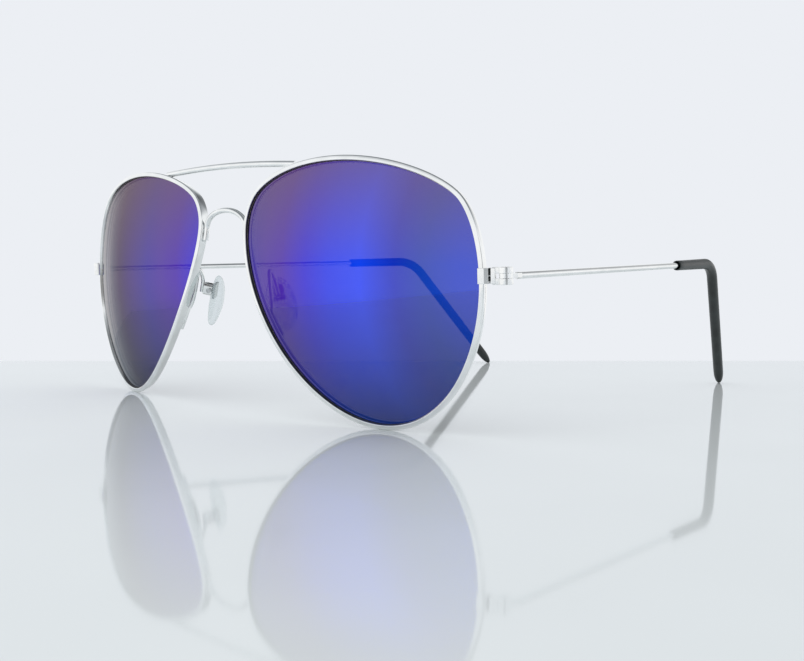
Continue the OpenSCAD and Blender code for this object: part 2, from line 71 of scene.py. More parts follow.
# Machined parts of the front: name, angle up to which faces share a soft edge, front given painted shade.
MACHINED = (("end_piece", 50.0, False), ("joint_plate", 10.0, False), ("pad_box", 10.0, False),
            ("lock_upper", 10.0, True), ("lock_lower", 10.0, True))

Colour = tuple[float, float, float, float]
Triple = tuple[float, float, float]
Pair = tuple[float, float]
Stops = tuple[tuple[float, str], ...]
Station = tuple[Vector, float, float, float]
Faces = list[Sequence[int]]
Socket = bpy.types.NodeSocket
NodeTree = bpy.types.NodeTree
Material = bpy.types.Material
Mesh = bpy.types.Mesh
Object = bpy.types.Object
Finishes = dict[type, Material]


class Side(Enum):
    """The two halves of the front, by the sign of X."""

    LEFT = 1
    RIGHT = -1

    @property
    def word(self) -> str:
        """Name used in node names."""
        return self.name.lower()


class Slot(Enum):
    """Material slots of the record."""

    METAL = "frame_metal"
    SCREW = "screw_steel"
    LENS = "lens_tint"
    SLEEVE = "sleeve_plastic"
    PAD = "pad_clear"


def linear(hex_colour: str) -> Colour:
    """Turn an sRGB hex colour into linear RGBA.

    Args:
        hex_colour: a colour such as "#A0B0C0".

    Returns:
        Linear red, green, blue and an alpha of 1.
    """
    values = [int(hex_colour[i:i + 2], 16) / 255 for i in (1, 3, 5)]
    red, green, blue = (v / 12.92 if v <= 0.04045 else ((v + 0.055) / 1.055) ** 2.4 for v in values)
    return red, green, blue, 1.0


def add_node(tree: NodeTree, kind: str, inputs: dict[Any, Any] | None = None, stops: Stops = (),
             **settings: Any) -> bpy.types.NodeOutputs:
    """Add one node with its settings and links.

    Args:
        tree: the tree that gets the node.
        kind: the node's type name.
        inputs: values or output sockets, by the input's name or index.
        stops: position and sRGB hex colour of each stop of a colour ramp, in order.
        settings: attributes of the node itself.

    Returns:
        The new node's outputs, by name or index.
    """
    node = tree.nodes.new(kind)
    for name, value in settings.items():
        setattr(node, name, value)
    for key, value in (inputs or {}).items():
        if isinstance(value, Socket):
            tree.links.new(value, node.inputs[key])
        else:
            node.inputs[key].default_value = value
    if stops:
        elements = node.color_ramp.elements
        for _ in stops[len(elements):]:
            elements.new(1.0)
        for element, (position, colour) in zip(elements, stops):
            element.position = position
            element.color = linear(colour)
    return node.outputs


@dataclass
class Spot:
    """A material in the making: its tree, its Object coordinates, and its tone and roughness."""

    tree: NodeTree
    place: Socket
    tone: Socket | None
    rough: Any


@dataclass(frozen=True)
class Finish:
    """What all finishes share: tone and roughness that change from blotch to blotch, at a real size."""

    name: str
    blotch_mm: float
    roughness: Pair
    tones: Stops = ()
    detail: float = 2.0
    metallic: float = 0.0
    relief_mm: float = 0.0
    relief_height_mm: float = 0.0
    relief_strength: float = 0.0

    def extras(self, spot: Spot) -> dict[str, Any]:
        """Further inputs of the opaque shader."""
        return {}

    def shader(self, spot: Spot) -> Socket:
        """Add the shader of an opaque finish, with its relief if it has one.

        Args:
            spot: the material in the making.

        Returns:
            The shader's output.
        """
        inputs = {"Base Color": spot.tone, "Metallic": self.metallic, "Roughness": spot.rough}
        if self.relief_mm:
            relief = add_node(spot.tree, "ShaderNodeTexNoise", {
                "Vector": spot.place, "Scale": 1 / (self.relief_mm * MM)})["Fac"]
            bump = add_node(spot.tree, "ShaderNodeBump", {
                "Height": relief, "Strength": self.relief_strength, "Distance": self.relief_height_mm * MM})
            inputs["Normal"] = bump["Normal"]
        return add_node(spot.tree, "ShaderNodeBsdfPrincipled", {**inputs, **self.extras(spot)})[0]

    def build(self) -> Material:
        """Make the material: its blotches first, then the finish's own shader.

        Returns:
            The material.
        """
        material = bpy.data.materials.new(self.name)
        material.use_nodes = True
        tree = material.node_tree
        tree.nodes.clear()
        place = add_node(tree, "ShaderNodeTexCoord")["Object"]
        blotch = add_node(tree, "ShaderNodeTexNoise", {
            "Vector": place, "Scale": 1 / (self.blotch_mm * MM), "Detail": self.detail})["Fac"]
        low, high = self.roughness
        spot = Spot(tree, place, None, low)
        if self.tones:
            spot.tone = add_node(tree, "ShaderNodeValToRGB", {"Fac": blotch}, self.tones)["Color"]
        if high > low:
            spot.rough = add_node(tree, "ShaderNodeMapRange", {
                "Value": blotch, "From Min": NOISE_SPAN[0], "From Max": NOISE_SPAN[1], "To Min": low,
                "To Max": high})["Result"]
        add_node(tree, "ShaderNodeOutputMaterial", {"Surface": self.shader(spot)})
        return material


@dataclass(frozen=True)
class SilverPlate(Finish):
    """Polished silver plate over nickel silver wire: bright, near white, with soft polishing waves.

    The waves are drawn coarser than real polishing marks, so that they show.
    """

    name: str = "polished_silver_plate"
    blotch_mm: float = 4.0
    roughness: Pair = (0.06, 0.13)
    tones: Stops = ((0.35, "#EEF0F0"), (0.65, "#FAFBFB"))
    detail: float = 3.0
    metallic: float = 1.0
    relief_mm: float = 0.6
    relief_height_mm: float = 0.0015
    relief_strength: float = 0.5


@dataclass(frozen=True)
class SilverSolder(SilverPlate):
    """Silver solder under the plate: the same metal, satin where the flux was brushed off."""

    name: str = "satin_silver_solder"
    blotch_mm: float = 1.0
    roughness: Pair = (0.28, 0.4)
    tones: Stops = ((0.35, "#E2E5E5"), (0.65, "#EEF0F0"))
    relief_mm: float = 0.3
    relief_height_mm: float = 0.004


@dataclass(frozen=True)
class GrooveWall(Finish):
    """Painted shade in the lens groove and in the closing slot: dark, dull metal that stands in for shade
    there.
    """

    name: str = "oxidised_nickel_silver"
    blotch_mm: float = 1.2
    roughness: Pair = (0.4, 0.4)
    tones: Stops = ((0.35, "#1E2324"), (0.7, "#363C3E"))
    metallic: float = 0.4


@dataclass(frozen=True)
class ScrewSteel(Finish):
    """Plain bright stainless steel, turned: a little greyer and duller than the plate."""

    name: str = "turned_stainless_steel"
    blotch_mm: float = 0.35
    roughness: Pair = (0.2, 0.34)
    tones: Stops = ((0.35, "#BEC1C3"), (0.65, "#D2D4D6"))
    metallic: float = 1.0


@dataclass(frozen=True)
class LensEdge(Finish):
    """Ground bevel of the lens: frosted and pale, with a faint painted glow for light that the lens pipes
    to it.
    """

    name: str = "ground_lens_bevel"
    blotch_mm: float = 0.3
    roughness: Pair = (0.5, 0.5)
    tones: Stops = ((0.35, "#D2C8C0"), (0.7, "#ECE4DE"))
    glow: float = 0.4

    def extras(self, spot: Spot) -> dict[str, Any]:
        """The painted glow, in the bevel's own tone."""
        return {"Emission Color": spot.tone, "Emission Strength": self.glow}


@dataclass(frozen=True)
class SleevePlastic(Finish):
    """Black cellulose acetate, tumbled: half gloss over a faint orange peel."""

    name: str = "black_cellulose_acetate"
    blotch_mm: float = 3.0
    roughness: Pair = (0.28, 0.4)
    tones: Stops = ((0.3, "#171C1C"), (0.7, "#2A3131"))
    detail: float = 3.0
    relief_mm: float = 0.45
    relief_height_mm: float = 0.006
    relief_strength: float = 0.6
    ior: float = 1.49

    def extras(self, spot: Spot) -> dict[str, Any]:
        """The plastic's refraction."""
        return {"IOR": self.ior}


@dataclass(frozen=True)
class MirrorCoat(Finish):
    """Front of the lens: a vacuum-laid interference mirror, blue head on and violet to grey on a slant.

    It is browner towards the brow and denser towards the cheek.
    """

    name: str = "blue_interference_mirror"
    blotch_mm: float = 9.0
    roughness: Pair = (0.015, 0.05)
    detail: float = 4.0
    metallic: float = 1.0
    hues: Stops = (
        (0.0, "#1C48D4"), (0.06, "#1445D0"), (0.1, "#0A42BC"), (0.14, "#0030C8"), (0.2, "#0045FF"),
        (0.27, "#0035F3"), (0.33, "#2419DC"), (0.4, "#4A20B4"), (0.46, "#4E30AA"), (0.52, "#3F31A8"),
        (0.56, "#43339C"), (0.6, "#462F90"), (0.7, "#381661"), (0.75, "#4B466F"), (0.82, "#86869C"),
        (0.98, "#9595A0"))
    crown: str = "#6B4F62"
    foot: str = "#143C50"
    tint_share: float = 0.75
    crown_mm: Pair = (31.0, 53.0)
    foot_mm: Pair = (27.0, 1.0)
    slant_dim: float = 0.65
    coverage: Pair = (0.85, 0.91)

    def shader(self, spot: Spot) -> Socket:
        """Add the half-clear mirror, tinted by slant and by height.

        Args:
            spot: the material in the making.

        Returns:
            The shader's output.
        """
        tree = spot.tree
        slant = add_node(tree, "ShaderNodeLayerWeight", {"Blend": PLAIN_FACING})["Facing"]
        coat = add_node(tree, "ShaderNodeValToRGB", {"Fac": slant}, self.hues)["Color"]
        height = add_node(tree, "ShaderNodeSeparateXYZ", {0: spot.place})["Z"]
        for colour, (start, stop) in ((self.crown, self.crown_mm), (self.foot, self.foot_mm)):
            part = add_node(tree, "ShaderNodeMapRange", {
                "Value": height, "From Min": start * MM, "From Max": stop * MM, "To Max": self.tint_share})
            tint = {"Factor": part["Result"], "A": coat, "B": linear(colour)}
            coat = add_node(tree, "ShaderNodeMix", tint, data_type="RGBA")["Result"]
        mirror = add_node(tree, "ShaderNodeBsdfPrincipled", {
            "Base Color": coat, "Metallic": self.metallic, "Roughness": spot.rough,
            "Specular Tint": (*[self.slant_dim] * 3, 1.0)})
        clear = add_node(tree, "ShaderNodeBsdfTransparent")
        cover = add_node(tree, "ShaderNodeMapRange", {
            "Value": height, "From Min": self.foot_mm[0] * MM, "From Max": self.foot_mm[1] * MM,
            "To Min": self.coverage[0], "To Max": self.coverage[1]})
        return add_node(tree, "ShaderNodeMixShader", {0: cover["Result"], 1: clear[0], 2: mirror[0]})[0]


@dataclass(frozen=True)
class ClearFinish(Finish):
    """A see-through finish, whose skin shows more and more as it is seen on a slant."""

    clear: str = "#FFFFFF"
    head_on: float = 0.05
    edge_on: float = 0.9
    steepness: float = 4.0

    def skin(self, spot: Spot) -> Socket:
        """The skin's own shader."""
        return super().shader(spot)

    def shader(self, spot: Spot) -> Socket:
        """Add the skin over what is seen through it.

        Args:
            spot: the material in the making.

        Returns:
            The shader's output.
        """
        clear = add_node(spot.tree, "ShaderNodeBsdfTransparent", {"Color": linear(self.clear)})
        slant = add_node(spot.tree, "ShaderNodeLayerWeight", {"Blend": PLAIN_FACING})["Facing"]
        steep = add_node(spot.tree, "ShaderNodeMath", {0: slant, 1: self.steepness}, operation="POWER")
        cover = add_node(spot.tree, "ShaderNodeMapRange", {
            "Value": steep[0], "To Min": self.head_on, "To Max": self.edge_on})
        return add_node(spot.tree, "ShaderNodeMixShader", {
            0: cover["Result"], 1: clear[0], 2: self.skin(spot)})[0]


@dataclass(frozen=True)
class TintedBack(ClearFinish):
    """Back of the lens: brown-tinted polycarbonate, polished, which swallows most of the light."""

    name: str = "brown_tinted_polycarbonate"
    blotch_mm: float = 7.0
    roughness: Pair = (0.03, 0.07)
    detail: float = 4.0
    clear: str = "#CDBFB5"
    gloss: str = "#FFFFFF"
    edge_on: float = 0.7
    steepness: float = 6.0

    def skin(self, spot: Spot) -> Socket:
        """The polish alone, because the tint lies in the lens."""
        return add_node(spot.tree, "ShaderNodeBsdfGlossy", {
            "Color": linear(self.gloss), "Roughness": spot.rough})[0]


@dataclass(frozen=True)
class PadSilicone(ClearFinish):
    """Clear silicone, moulded: glassy, with a satin skin where the mould was blasted."""

    name: str = "clear_moulded_silicone"
    blotch_mm: float = 1.8
    roughness: Pair = (0.08, 0.18)
    tones: Stops = ((0.35, "#DCE6E6"), (0.65, "#F6FAFA"))
    clear: str = "#F4F7F7"
    head_on: float = 0.07


@dataclass(frozen=True)
class TableLacquer(Finish):
    """Pale lacquered board: a matt ground under clear lacquer, which mirrors more on a slant."""

    name: str = "pale_lacquered_table"
    blotch_mm: float = 60.0
    roughness: Pair = (0.05, 0.05)
    tones: Stops = ((0.3, "#DFE3E1"), (0.7, "#E3E7E5"))
    gloss: str = "#ECEFF4"
    ior: float = 1.45

    def shader(self, spot: Spot) -> Socket:
        """Add the ground under its lacquer.

        Args:
            spot: the material in the making.

        Returns:
            The shader's output.
        """
        ground = add_node(spot.tree, "ShaderNodeBsdfDiffuse", {"Color": spot.tone})
        lacquer = add_node(spot.tree, "ShaderNodeBsdfGlossy", {
            "Color": linear(self.gloss), "Roughness": spot.rough})
        share = add_node(spot.tree, "ShaderNodeFresnel", {"IOR": self.ior})
        return add_node(spot.tree, "ShaderNodeMixShader", {0: share[0], 1: ground[0], 2: lacquer[0]})[0]


def turn(angle: float, axis: str) -> Matrix:
    """Rotation by degrees about a named axis."""
    return Matrix.Rotation(math.radians(angle), 3, axis)


def shares(count: int) -> list[float]:
    """Equal steps from 0 to 1."""
    return [i / count for i in range(count + 1)]


def bezier(start: Vector, lead: Vector, trail: Vector, end: Vector, count: int) -> list[Vector]:
    """Points on a cubic curve, without its start; lead and trail are the handles of its two ends."""
    return [start * (1 - t) ** 3 + lead * 3 * t * (1 - t) ** 2 + trail * 3 * t * t * (1 - t) + end * t ** 3
            for t in shares(count)[1:]]


def ring_faces(rings: int, around: int) -> Faces:
    """Quads between rings of equal length.

    Args:
        rings: number of rings.
        around: number of points in each ring.

    Returns:
        The faces.
    """
    faces: Faces = []
    for here in range(0, (rings - 1) * around, around):
        for j in range(around):
            k = (j + 1) % around
            faces.append((here + j, here + k, here + around + k, here + around + j))
    return faces


def capped_faces(rings: int, around: int) -> Faces:
    """Quads between rings, with one flat face over the first ring and one over the last."""
    end = (rings - 1) * around
    return ring_faces(rings, around) + [range(around), range(end, end + around)]


def put(name: str, data: bpy.types.ID) -> Object:
    """Put data into the scene as an object at the origin.

    Args:
        name: the object's name.
        data: its mesh, curve, light or camera.

    Returns:
        The object.
    """
    thing = bpy.data.objects.new(name, data)
    bpy.context.scene.collection.objects.link(thing)
    return thing


def face_outwards(mesh: Mesh, crease: float) -> None:
    """Turn all faces outwards and shade them smoothly.

    Args:
        mesh: the mesh.
        crease: edges sharper than this many degrees stay crisp.
    """
    work = bmesh.new()
    work.from_mesh(mesh)
    bmesh.ops.recalc_face_normals(work, faces=work.faces)
    work.to_mesh(mesh)
    work.free()
    mesh.shade_smooth()
    mesh.set_sharp_from_angle(angle=math.radians(crease))


def mesh_object(name: str, points: Iterable[Vector], faces: Faces, materials: Sequence[Material],
                pick: Callable[[int], int] | None = None, crease: float = 40.0) -> Object:
    """Make a smooth-shaded mesh object at the origin.

    Args:
        name: the object's name.
        points: corners in metres.
        faces: corner numbers of each face.
        materials: the object's materials.
        pick: gives a face's material number from the face's number.
        crease: edges sharper than this many degrees stay crisp.

    Returns:
        The object, linked to the scene.
    """
    mesh = bpy.data.meshes.new(name)
    mesh.from_pydata([tuple(p) for p in points], [], faces)
    for material in materials:
        mesh.materials.append(material)
    if pick:
        for polygon in mesh.polygons:
            polygon.material_index = pick(polygon.index)
    face_outwards(mesh, crease)
    return put(name, mesh)


def grow(name: str, source: Object, inputs: dict[str, tuple[str, Any]],
         make: Callable[[NodeTree, bpy.types.NodeOutputs], Socket], crease: float = 50.0) -> Object:
    """Run a new Geometry Nodes tree on an object and keep the result as a plain mesh.

    Args:
        name: name of the new mesh object.
        source: the object that feeds the tree; it is deleted afterwards.
        inputs: type and value of each input besides the geometry, by its name; one is the material.
        make: adds the tree's own nodes, from the outputs that give its inputs to the geometry made.
        crease: edges sharper than this many degrees stay crisp.

    Returns:
        The new mesh object.
    """
    tree = bpy.data.node_groups.new(name + "_tree", "GeometryNodeTree")
    for way in ("INPUT", "OUTPUT"):
        tree.interface.new_socket("Geometry", in_out=way, socket_type="NodeSocketGeometry")
    keys = {label: tree.interface.new_socket(label, in_out="INPUT", socket_type=f"NodeSocket{kind}")
            for label, (kind, _) in inputs.items()}
    given = add_node(tree, "NodeGroupInput")
    real = add_node(tree, "GeometryNodeRealizeInstances", {"Geometry": make(tree, given)})
    dressed = add_node(tree, "GeometryNodeSetMaterial", {
        "Geometry": real["Geometry"], "Material": given["Material"]})
    add_node(tree, "NodeGroupOutput", {"Geometry": dressed["Geometry"]})
    modifier = source.modifiers.new(tree.name, "NODES")
    modifier.node_group = tree
    for label, (_, value) in inputs.items():
        modifier[keys[label].identifier] = value
    bpy.context.view_layer.update()
    evaluated = source.evaluated_get(bpy.context.evaluated_depsgraph_get())
    mesh = bpy.data.meshes.new_from_object(evaluated)
    mesh.name = name
    source.modifiers.remove(modifier)
    bpy.data.objects.remove(source)
    face_outwards(mesh, crease)
    return put(name, mesh)


def fix(piece: Object, body: str, slot: Slot, *nodes: str) -> None:
    """Let a finished piece ride on its body and stand for its CAD nodes.

    Args:
        piece: the finished mesh object.
        body: the body that carries it.
        slot: the record's material slot; not used.
        nodes: CAD nodes that it stands for.
    """
    if nodes:
        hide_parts(*nodes)
    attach(piece, body)
    LOG.info("%s: %d faces on %s", piece.name, len(piece.data.polygons), body)


@dataclass(frozen=True)
class LensShape:
    """Teardrop outline and curve of a lens. Half-widths by direction make every offset outline exact."""

    width: float = 58.0
    height: float = 50.0
    curve: float = 95.0
    slant: float = 2.7
    tear_x: float = 0.7
    tear_z: float = 2.0
    fullness: float = 0.3
    corner: float = 0.2
    flatness: float = 0.1

    def waves(self) -> tuple[tuple[int, float, float], ...]:
        """Write the half-width as waves round the outline.

        Returns:
            Order, cosine part and sine part of each wave.
        """
        return ((0, (self.width + self.height) / 4 + self.fullness, 0.0),
                (1, self.tear_x + self.corner, self.tear_z + self.corner),
                (2, (self.width - self.height) / 4 - self.flatness, -self.slant),
                (3, -self.tear_x, self.tear_z),
                (4, -self.fullness, 0.0),
                (5, -self.corner, -self.corner),
                (6, self.flatness, 0.0))

    def lean(self) -> float:
        """How far the rim leans inwards for each millimetre towards the back."""
        return math.tan(math.asin((self.width + self.height) / (4 * self.curve)))

    def point(self, angle: float, out: float, back: float, share: float = 1.0) -> Vector:
        """A point on an offset outline.

        Args:
            angle: direction of the outline's normal in degrees, 0 outwards and 90 up.
            out: distance outwards from the lens opening.
            back: distance behind the front of the rim.
            share: 1 on the outline, 0 at the lens centre.

        Returns:
            The point in the lens's own frame.
        """
        a = math.radians(angle)
        half = out + sum(c * math.cos(k * a) + s * math.sin(k * a) for k, c, s in self.waves())
        swing = sum(k * (s * math.cos(k * a) - c * math.sin(k * a)) for k, c, s in self.waves())
        x = share * (half * math.cos(a) - swing * math.sin(a))
        z = share * (half * math.sin(a) + swing * math.cos(a))
        sag = self.curve - math.sqrt(self.curve ** 2 - x * x - z * z)
        return Vector((x, sag + back, z))


@dataclass
class Front:
    """Where the two lenses, the bars and the pads stand in the row frame."""

    pad_joint: Vector
    shape: LensShape = field(default_factory=LensShape)
    bridge_gap: float = 17.0
    wrap: float = 9.0
    rest_tilt: float = 2.0
    rim_width: float = 0.95
    rim_depth: float = 2.2
    seat_gap: float = 0.04
    pad_pivot: Vector = field(default_factory=lambda: Vector((12.2, 5.8, -0.6)))
    shift: Vector = field(init=False)

    def __post_init__(self) -> None:
        """Read from the left pad's joint where the tipped front stands."""
        self.shift = self.pad_joint / MM - turn(self.rest_tilt, "X") @ self.pad_pivot

    def square(self, local: Vector) -> Vector:
        """From the left lens's own frame to the square front."""
        nose = turn(self.wrap, "Z") @ self.shape.point(180, 0, 0)
        return Vector((self.bridge_gap / 2 - nose.x, 0, 0)) + turn(self.wrap, "Z") @ local

    def lens_point(self, angle: float, out: float, back: float, share: float = 1.0) -> Vector:
        """A point of the left lens's outline in the square front, as LensShape.point gives it."""
        return self.square(self.shape.point(angle, out, back, share))

    def rim_point(self, angle: float, out: float, back: float) -> Vector:
        """A point that leans inwards towards the back with the rim, square to the lens's curve."""
        return self.lens_point(angle, out - self.shape.lean() * back, back)

    def joint_turn(self) -> float:
        """How far the closing blocks turn outwards from the square front, in radians."""
        edge = self.shape.point(0, 0, 0)
        return math.radians(self.wrap) + math.asin(edge.x / self.shape.curve)

    def row(self, point: Vector, side: Side = Side.LEFT) -> Vector:
        """From the square front, in millimetres, to the row frame, in metres, mirrored on the right."""
        tipped = turn(self.rest_tilt, "X") @ point + self.shift
        return Vector((tipped.x * side.value, tipped.y, tipped.z)) * MM


@dataclass
class Assembly:
    """What every sub-assembly is given: the front's layout and the finishes."""

    front: Front
    finishes: Finishes


@dataclass
class HalfAssembly(Assembly):
    """A sub-assembly that is there once on each side."""

    side: Side

    def named(self, part: str) -> str:
        """Name of a piece, node or body on this side."""
        return f"{self.side.word}_{part}"

    def mirrored(self, offset: Vector) -> Vector:
        """An offset of the left half, mirrored for the right half."""
        return Vector((offset.x * self.side.value, offset.y, offset.z))

    def tipped(self, offset: Vector) -> Vector:
        """From an offset in the square front, in millimetres, to one in the row frame, in metres."""
        return self.mirrored(turn(self.front.rest_tilt, "X") @ offset * MM)


@dataclass
class Eyewire(HalfAssembly):
    """One rim: a grooved wire swept round the lens outline, cut at its closing blocks."""

    corner: float = 0.25
    inner_corner: float = 0.125
    groove_depth: float = 0.55
    groove_half: float = 0.3
    groove_at: float = 1.35
    # The polished inner wall reaches polish behind the front, and polish_beside_hinge beside the hinge;
    # from there down to the groove the wall carries painted shade, which is left out near the cut at the
    # closing blocks and fades in from there.
    polish: float = 0.26
    polish_beside_hinge: float = 1.02
    cut_angle: float = 2.257
    cut_half: float = 0.2
    clean_half: float = 42.0
    fade_span: float = 36.0
    steps: int = 288
    arc_steps: int = 5

    def section(self, shade_reach: float) -> list[Pair]:
        """The wire's section as outwards and back, from the bottom of the groove round the front.

        Args:
            shade_reach: how far the painted shade reaches up the inner wall; 0 beside the hinge, where the
                polish goes deep, and 1 where the polish keeps to the front.

        Returns:
            The points.
        """
        wide, deep, r, small = self.front.rim_width, self.front.rim_depth, self.corner, self.inner_corner
        polish = self.polish_beside_hinge + shade_reach * (self.polish - self.polish_beside_hinge)
        front_edge = self.groove_at - self.groove_half
        points = [(self.groove_depth, self.groove_at), (0.0, front_edge), (0.0, polish)]
        for cx, cy, radius, start in ((small, small, small, 180), (wide - r, r, r, 270),
                                      (wide - r, deep - r, r, 0), (small, deep - small, small, 90)):
            for share in shares(self.arc_steps):
                a = math.radians(start + 90 * share)
                points.append((cx + radius * math.cos(a), cy + radius * math.sin(a)))
        points.append((0.0, self.groove_at + self.groove_half))
        return points

    def build(self) -> None:
        """Make the rim, with painted shade in its groove and on the wall in front of it, but not beside the
        hinge.
        """
        first, sweep = self.cut_angle + self.cut_half, 360 - 2 * self.cut_half
        points: list[Vector] = []
        for share in shares(self.steps):
            on = sweep * share
            shade_reach = min(max((min(on, sweep - on) - self.clean_half) / self.fade_span, 0.0), 1.0)
            points += [self.front.row(self.front.rim_point(first + on, out, back), self.side)
                       for out, back in self.section(shade_reach)]
        around = len(self.section(0))
        last = self.steps * around
        faces = ring_faces(self.steps + 1, around)
        faces += [(start, start + j, start + j + 1) for start in (0, last) for j in range(1, around - 1)]
        dark = (0, 1, around - 1)
        unshaded = self.clean_half * self.steps / 360

        def pick(face: int) -> int:
            """Painted shade or polished, by the face's place in the section and along the wire."""
            in_shade = face < last and face % around in dark
            return int(in_shade and unshaded < face // around < self.steps - unshaded)

        metals = [self.finishes[SilverPlate], self.finishes[GrooveWall]]
        rim = mesh_object(self.named("eyewire"), points, faces, metals, pick)
        fix(rim, "front", Slot.METAL, self.named("rim"))


@dataclass
class Lens(HalfAssembly):
    """One lens: coated front, tinted back and a ground bevel that sits in the rim's groove."""

    gap: float = 0.05
    recess: float = 0.6
    thickness: float = 1.5
    bevel_out: float = 0.26
    bevel_at: float = 1.35
    crease: float = 25.0
    around: int = 192
    rings: int = 20

    def build(self) -> None:
        """Make the lens as rings from the middle of its front, round the bevel, to that of its back."""
        rear = self.recess + self.thickness
        lean = self.front.shape.lean()
        face, seat, rest = (-self.gap - lean * self.recess, self.bevel_out - lean * self.bevel_at,
                            -self.gap - lean * rear)
        outwards = shares(self.rings)[1:]
        levels = [(face, self.recess, share) for share in outwards]
        levels.append((seat, self.bevel_at, 1.0))
        levels += [(rest, rear, share) for share in reversed(outwards)]
        places = [(360 * j / self.around, *level) for level in levels for j in range(self.around)]
        places += [(0, 0, back, 0) for back in (self.recess, rear)]
        points = [self.front.row(self.front.lens_point(*place), self.side) for place in places]
        faces = ring_faces(len(levels), self.around)
        middle = len(points) - 2
        end = middle - self.around
        for j in range(self.around):
            k = (j + 1) % self.around
            faces += [(middle, k, j), (middle + 1, end + j, end + k)]
        bevel = (self.rings - 1) * self.around
        back = (self.rings + 1) * self.around

        def pick(face: int) -> int:
            """Mirror, bevel or back by the face's ring; the two fans come last in turn."""
            ring = 0 if face < bevel else 1 if face < back else 2
            return ring if face < end else 2 * ((face - end) % 2)

        coats = [self.finishes[MirrorCoat], self.finishes[LensEdge], self.finishes[TintedBack]]
        lens = mesh_object(self.named("curved_lens"), points, faces, coats, pick, self.crease)
        fix(lens, "front", Slot.LENS, self.named("lens"))


@dataclass
class WireSweep:
    """A round wire along a path, swept by Geometry Nodes and kept as a plain mesh."""

    name: str
    path: list[Vector]
    radius: float
    material: Material
    sides: int = 20

    def sweep(self, tree: NodeTree, given: bpy.types.NodeOutputs) -> Socket:
        """Add nodes that sweep a circle along the curve and cap it.

        Args:
            tree: the node tree.
            given: the outputs that give its inputs.

        Returns:
            The swept mesh.
        """
        circle = add_node(tree, "GeometryNodeCurvePrimitiveCircle", {
            "Resolution": given["Sides"], "Radius": given["Radius"]})
        return add_node(tree, "GeometryNodeCurveToMesh", {
            "Curve": given["Geometry"], "Profile Curve": circle["Curve"], "Fill Caps": True})["Mesh"]

    def build(self) -> Object:
        """Sweep the wire.

        Returns:
            Its mesh object.
        """
        curve = bpy.data.curves.new(self.name + "_path", "CURVE")
        curve.dimensions = "3D"
        spline = curve.splines.new("POLY")
        spline.points.add(len(self.path) - 1)
        for point, place in zip(spline.points, self.path):
            point.co = (*place, 1.0)
        inputs = {"Material": ("Material", self.material), "Radius": ("Float", self.radius * MM),
                  "Sides": ("Int", self.sides)}
        return grow(self.name, put(curve.name, curve), inputs, self.sweep)


@dataclass
class Solder(Assembly):
    """Solder beads at the soldered seats of bars and arms, set on points by Geometry Nodes."""

    spots: list[tuple[Vector, Vector, Vector]] = field(default_factory=list)
    fineness: int = 3

    def add(self, at: Vector, ahead: Vector, halves: Triple) -> None:
        """Add a bead and its mirror image.

        Args:
            at: the bead's middle in the square front.
            ahead: a point further along its length.
            halves: half length and the two half widths in millimetres.
        """
        for side in Side:
            middle = self.front.row(at, side)
            course = self.front.row(ahead, side) - middle
            lie = Vector(course.to_track_quat("X", "Z").to_euler())
            self.spots.append((middle, Vector(halves) * MM, lie))

    def sow(self, tree: NodeTree, given: bpy.types.NodeOutputs) -> Socket:
        """Add nodes that set a ball on every point, with the point's own size and turn.

        Args:
            tree: the node tree.
            given: the outputs that give its inputs.

        Returns:
            The balls.
        """
        ball = add_node(tree, "GeometryNodeMeshIcoSphere", {
            "Radius": 1.0, "Subdivisions": given["Fineness"]})
        size, lie = (add_node(tree, "GeometryNodeInputNamedAttribute", {"Name": name},
                              data_type="FLOAT_VECTOR")["Attribute"] for name in ("size", "lie"))
        angle = add_node(tree, "FunctionNodeEulerToRotation", {"Euler": lie})["Rotation"]
        return add_node(tree, "GeometryNodeInstanceOnPoints", {
            "Points": given["Geometry"], "Instance": ball["Mesh"], "Rotation": angle,
            "Scale": size})["Instances"]

    def build(self) -> None:
        """Set all beads as one piece."""
        mesh = bpy.data.meshes.new("solder_points")
        middles, sizes, lies = zip(*self.spots)
        mesh.from_pydata(middles, [], [])
        for name, values in (("size", sizes), ("lie", lies)):
            layer = mesh.attributes.new(name, "FLOAT_VECTOR", "POINT")
            for item, value in zip(layer.data, values):
                item.vector = value
        inputs = {"Material": ("Material", self.finishes[SilverSolder]), "Fineness": ("Int", self.fineness)}
        fix(grow("solder_beads", put(mesh.name, mesh), inputs, self.sow), "front", Slot.METAL)


@dataclass
class Bridge(Assembly):
    """The arch between the rims, whose legs follow the nose side of both rims."""

    diameter: float = 1.2
    rise: float = 3.8
    nose_angle: float = 180.0
    lap_angle: float = 8.0
    leg_steps: int = 8
    arch_steps: int = 48
    bead_out: float = 0.3
    bead_turn: float = 2.0
    bead_widths: Pair = (0.42, 0.5)
    beads: tuple[Pair, ...] = ((187.2, 0.75), (181.0, 0.6), (102.0, 0.9))

    def path(self) -> list[Vector]:
        """Find the wire's middle line.

        Returns:
            Its points in the square front.
        """
        out = self.front.rim_width + self.diameter / 2 + self.front.seat_gap
        back = self.front.rim_depth / 2
        leg = [self.front.rim_point(self.nose_angle + self.lap_angle * (1 - share), out, back)
               for share in shares(self.leg_steps)]
        other = [Vector((-p.x, p.y, p.z)) for p in reversed(leg)]
        pull = Vector((0, 0, self.rise / CUBIC_TOP))
        arch = bezier(leg[-1], leg[-1] + pull, other[0] + pull, other[0], self.arch_steps)
        return leg + arch + other[1:]

    def add_solder(self, solder: Solder) -> None:
        """Put a bead at both ends of the left leg and under the brow bar.

        Args:
            solder: the beads, which are mirrored there.
        """
        out, back = self.front.rim_width + self.bead_out, self.front.rim_depth / 2
        for angle, half in self.beads:
            at, ahead = (self.front.rim_point(a, out, back) for a in (angle, angle - self.bead_turn))
            solder.add(at, ahead, (half, *self.bead_widths))

    def build(self) -> None:
        """Make the bridge."""
        path = [self.front.row(p) for p in self.path()]
        wire = WireSweep("bridge_wire", path, self.diameter / 2, self.finishes[SilverPlate]).build()
        fix(wire, "front", Slot.METAL, "bridge")


